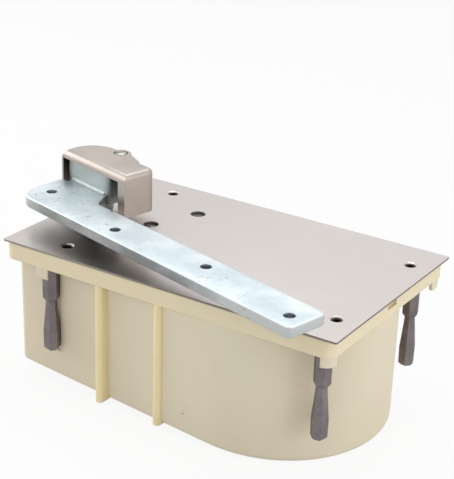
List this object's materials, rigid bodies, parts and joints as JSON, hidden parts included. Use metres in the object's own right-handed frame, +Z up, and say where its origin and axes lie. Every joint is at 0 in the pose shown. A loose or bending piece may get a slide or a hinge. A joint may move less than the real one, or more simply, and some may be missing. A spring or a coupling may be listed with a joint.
{
  "type": "floor spring door closer",
  "caption": "Door closer for setting in a floor: a round-ended moulded case with screwed anchors under a flat sheet plate, and an offset arm that turns on a capped pivot.",
  "frame": {"origin": "centre of the bounding box in plan, at the level of the case's lowest edge", "axes": "+X along the floor plate from the spindle end to the round end, +Y to the back, +Z up"},
  "size_m": [0.3158, 0.2282, 0.175],
  "materials": {
    "moulded_case": "smooth moulded, satin",
    "stainless_sheet": "fine brushed",
    "cast_body": "as cast",
    "machined_steel": "machined",
    "zinc_steel": "zinc plated, mottled",
    "nickel_cap": "satin nickel",
    "dark_anchor": "dark sintered",
    "spring_steel": "oiled spring steel",
    "black_rubber": "matte",
    "gasket": "matte",
    "brass": "machined",
    "blackened_steel": "blackened"
  },
  "bodies": {
    "case": {"cement_case": "moulded_case", "floor_plate": "stainless_sheet", "closer_body": "cast_body", "body_gasket": "gasket", "body_cover": "cast_body", "cover_screws": "machined_steel", "case_bolts": "machined_steel", "rim_inserts": "blackened_steel", "floor_anchors": "dark_anchor", "anchor_screws": "machined_steel", "filler_plug": "machined_steel", "upper_bearing": "machined_steel", "spindle_seal": "black_rubber", "lower_bearing": "machined_steel", "thrust_washer": "brass", "outer_spring": "spring_steel", "inner_spring": "spring_steel", "end_plug": "machined_steel", "end_plug_ring": "black_rubber"},
    "arm": {"spindle": "machined_steel", "door_arm": "zinc_steel", "arm_washer": "machined_steel", "arm_screw": "machined_steel", "pivot_cap": "nickel_cap", "cap_screw": "machined_steel"},
    "piston": {"piston": "machined_steel", "piston_ring": "brass", "check_valve": "brass", "roller_pin": "machined_steel"},
    "roller": {"cam_roller": "machined_steel"},
    "sweep_valve": {"sweep_valve": "machined_steel", "sweep_valve_ring": "black_rubber"},
    "latch_valve": {"latch_valve": "machined_steel", "latch_valve_ring": "black_rubber"}
  },
  "joints": [
    {"name": "arm_swing", "type": "hinge", "parent": "case", "child": "arm", "pos_m": [-0.12688, 0.02127, 0.12422], "axis": [0, 0, 1], "range_deg": [0, 115], "stiffness_Nm_per_rad": 12, "springref_deg": -68.75},
    {"name": "piston_slide", "type": "slide", "parent": "case", "child": "piston", "axis": [1, 0, 0], "range_m": [0, 0.01006], "deforming": ["outer_spring", "inner_spring"]},
    {"name": "roller_spin", "type": "hinge", "parent": "piston", "child": "roller", "pos_m": [-0.10958, 0.02127, 0.06622], "axis": [0, 0, 1], "continuous": true},
    {"name": "sweep_valve_turn", "type": "hinge", "parent": "case", "child": "sweep_valve", "pos_m": [-0.07068, 0.02477, 0.11922], "axis": [0, 0, 1], "range_deg": [0, 360]},
    {"name": "latch_valve_turn", "type": "hinge", "parent": "case", "child": "latch_valve", "pos_m": [-0.05238, 0.06707, 0.11922], "axis": [0, 0, 1], "range_deg": [0, 360]}
  ],
  "couplings": [
    {"joint": "piston_slide", "follows": "arm_swing", "m_per_rad": 0.005}
  ]
}
